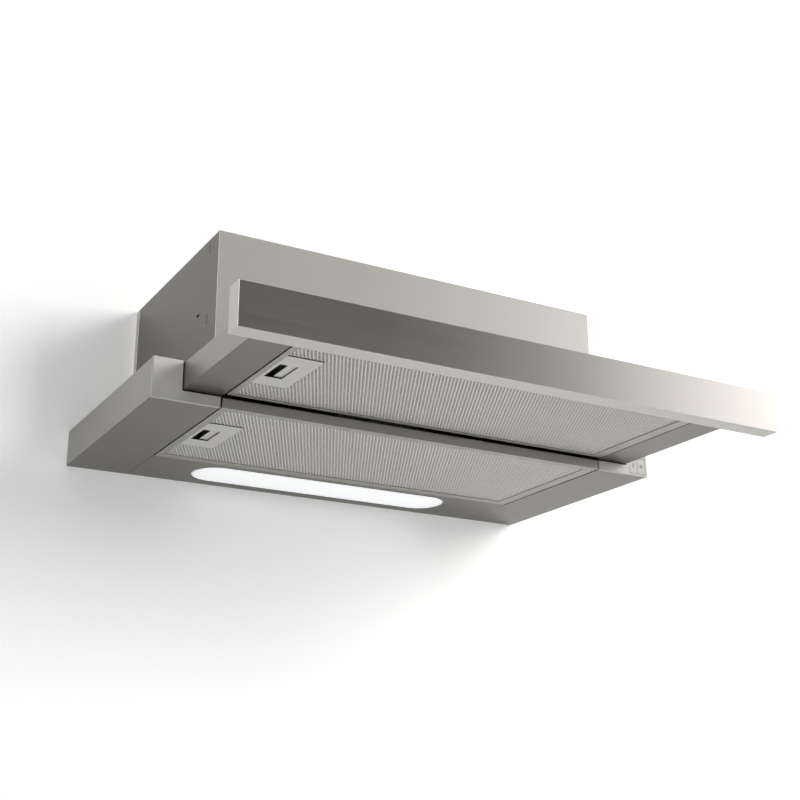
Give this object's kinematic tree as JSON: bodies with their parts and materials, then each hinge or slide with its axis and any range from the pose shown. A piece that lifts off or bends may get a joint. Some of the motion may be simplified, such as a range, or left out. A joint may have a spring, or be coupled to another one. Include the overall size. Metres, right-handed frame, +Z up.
{
  "type": "telescopic range hood",
  "caption": "Built-in telescopic range hood with a pull-out drawer, hinged grease filters, a strip lamp, push buttons and a blower in a steel casing under a round duct collar.",
  "frame": {"origin": "centre of the hood's width, on the plane of its rear wall face, at the height of the underside of the arms", "axes": "+X to the right as seen from the front, +Y back to the wall, +Z up"},
  "size_m": [0.6, 0.4855, 0.2343],
  "materials": {
    "brushed_steel_sheet": "satin, brushed",
    "zinc_steel": "zinc plated, dull",
    "filter_aluminium": "satin",
    "silver_plastic": "satin, silver grey",
    "black_plastic": "matte",
    "white_plastic": "smooth",
    "opal_lens": "opal, lit from behind",
    "tube_glass": "phosphor coated",
    "reflector_white": "gloss white",
    "motor_steel": "satin",
    "bronze": "sintered",
    "black_rubber": "matte",
    "board_green": "solder mask",
    "red_plastic": "smooth"
  },
  "bodies": {
    "hood_frame": {"left_arm": "brushed_steel_sheet", "right_arm": "brushed_steel_sheet", "left_arm_cap": "silver_plastic", "control_panel": "silver_plastic", "frame_top_plate": "brushed_steel_sheet", "rear_tray": "brushed_steel_sheet", "lamp_lens": "opal_lens", "lamp_reflector": "reflector_white", "lamp_tube": "tube_glass", "lamp_holders": "black_plastic", "casing_shell": "brushed_steel_sheet", "casing_back": "brushed_steel_sheet", "casing_roof": "brushed_steel_sheet", "roof_screws": "zinc_steel", "duct_collar": "black_plastic", "outlet_adapter": "white_plastic", "volute_left": "white_plastic", "volute_right": "white_plastic", "motor_body": "motor_steel", "motor_bearings": "bronze", "motor_bracket": "zinc_steel", "motor_bushes": "black_rubber", "motor_screws": "zinc_steel", "capacitor": "white_plastic", "power_box": "black_plastic", "cable_gland": "black_plastic", "control_board": "board_green", "fixed_rails": "zinc_steel", "drawer_switch": "black_plastic"},
    "drawer": {"drawer_rails": "zinc_steel", "drawer_channel_left": "brushed_steel_sheet", "drawer_channel_right": "brushed_steel_sheet", "drawer_cover": "brushed_steel_sheet", "fascia": "brushed_steel_sheet", "fascia_back_plate": "brushed_steel_sheet", "drawer_screws": "zinc_steel"},
    "middle_slide_left": {"middle_rail_left": "zinc_steel"},
    "middle_slide_right": {"middle_rail_right": "zinc_steel"},
    "lower_filter": {"lower_filter_frame": "filter_aluminium", "lower_filter_mesh": "filter_aluminium", "lower_filter_pad": "filter_aluminium", "lower_latch_plate": "silver_plastic", "lower_latch_spring": "zinc_steel"},
    "lower_latch": {"lower_latch_slider": "silver_plastic"},
    "upper_filter": {"upper_filter_frame": "filter_aluminium", "upper_filter_mesh": "filter_aluminium", "upper_filter_pad": "filter_aluminium", "upper_latch_plate": "silver_plastic", "upper_latch_spring": "zinc_steel"},
    "upper_latch": {"upper_latch_slider": "silver_plastic"},
    "fan": {"impeller_disc": "zinc_steel", "impeller_cage": "zinc_steel", "motor_shaft": "zinc_steel"},
    "flap_left": {"flap_left": "black_plastic"},
    "flap_right": {"flap_right": "black_plastic"},
    "button_lamp": {"button_lamp": "silver_plastic"},
    "button_one": {"button_one": "silver_plastic"},
    "button_two": {"button_two": "silver_plastic"},
    "button_three": {"button_three": "silver_plastic"},
    "switch_plunger": {"switch_plunger": "red_plastic"}
  },
  "joints": [
    {"name": "drawer_slide", "type": "slide", "parent": "hood_frame", "child": "drawer", "axis": [0, 1, 0], "range_m": [0, 0.185]},
    {"name": "middle_slide_left", "type": "slide", "parent": "hood_frame", "child": "middle_slide_left", "axis": [0, 1, 0], "range_m": [0, 0.0925]},
    {"name": "middle_slide_right", "type": "slide", "parent": "hood_frame", "child": "middle_slide_right", "axis": [0, 1, 0], "range_m": [0, 0.0925]},
    {"name": "lower_filter_hinge", "type": "hinge", "parent": "hood_frame", "child": "lower_filter", "pos_m": [0.2326, -0.1837, 0.0038], "axis": [0, 1, 0], "range_deg": [-35, 0]},
    {"name": "lower_latch_slide", "type": "slide", "parent": "lower_filter", "child": "lower_latch", "axis": [1, 0, 0], "range_m": [0, 0.005], "stiffness_N_per_m": 300, "springref_m": -0.005, "deforming": ["lower_latch_spring"]},
    {"name": "upper_filter_hinge", "type": "hinge", "parent": "drawer", "child": "upper_filter", "pos_m": [0.2312, -0.3758, 0.0154], "axis": [0, 1, 0], "range_deg": [-35, 0]},
    {"name": "upper_latch_slide", "type": "slide", "parent": "upper_filter", "child": "upper_latch", "axis": [1, 0, 0], "range_m": [0, 0.005], "stiffness_N_per_m": 300, "springref_m": -0.005, "deforming": ["upper_latch_spring"]},
    {"name": "fan_spin", "type": "hinge", "parent": "hood_frame", "child": "fan", "pos_m": [0.0065, -0.15, 0.1245], "axis": [1, 0, 0], "continuous": true},
    {"name": "flap_left_swing", "type": "hinge", "parent": "hood_frame", "child": "flap_left", "pos_m": [0.002, -0.1, 0.2115], "axis": [0, 1, 0], "range_deg": [0, 75]},
    {"name": "flap_right_swing", "type": "hinge", "parent": "hood_frame", "child": "flap_right", "pos_m": [0.011, -0.1, 0.2115], "axis": [0, -1, 0], "range_deg": [0, 75]},
    {"name": "button_lamp_press", "type": "slide", "parent": "hood_frame", "child": "button_lamp", "axis": [0, 1, 0], "range_m": [0, 0.0015], "stiffness_N_per_m": 400, "springref_m": -0.0015},
    {"name": "button_one_press", "type": "slide", "parent": "hood_frame", "child": "button_one", "axis": [0, 1, 0], "range_m": [0, 0.0015], "stiffness_N_per_m": 400, "springref_m": -0.0015},
    {"name": "button_two_press", "type": "slide", "parent": "hood_frame", "child": "button_two", "axis": [0, 1, 0], "range_m": [0, 0.0015], "stiffness_N_per_m": 400, "springref_m": -0.0015},
    {"name": "button_three_press", "type": "slide", "parent": "hood_frame", "child": "button_three", "axis": [0, 1, 0], "range_m": [0, 0.0015], "stiffness_N_per_m": 400, "springref_m": -0.0015},
    {"name": "plunger_press", "type": "slide", "parent": "hood_frame", "child": "switch_plunger", "axis": [0, 1, 0], "range_m": [0, 0.0025], "stiffness_N_per_m": 250, "springref_m": -0.002}
  ],
  "couplings": [
    {"joint": "middle_slide_left", "follows": "drawer_slide", "ratio": 0.5},
    {"joint": "middle_slide_right", "follows": "drawer_slide", "ratio": 0.5}
  ]
}
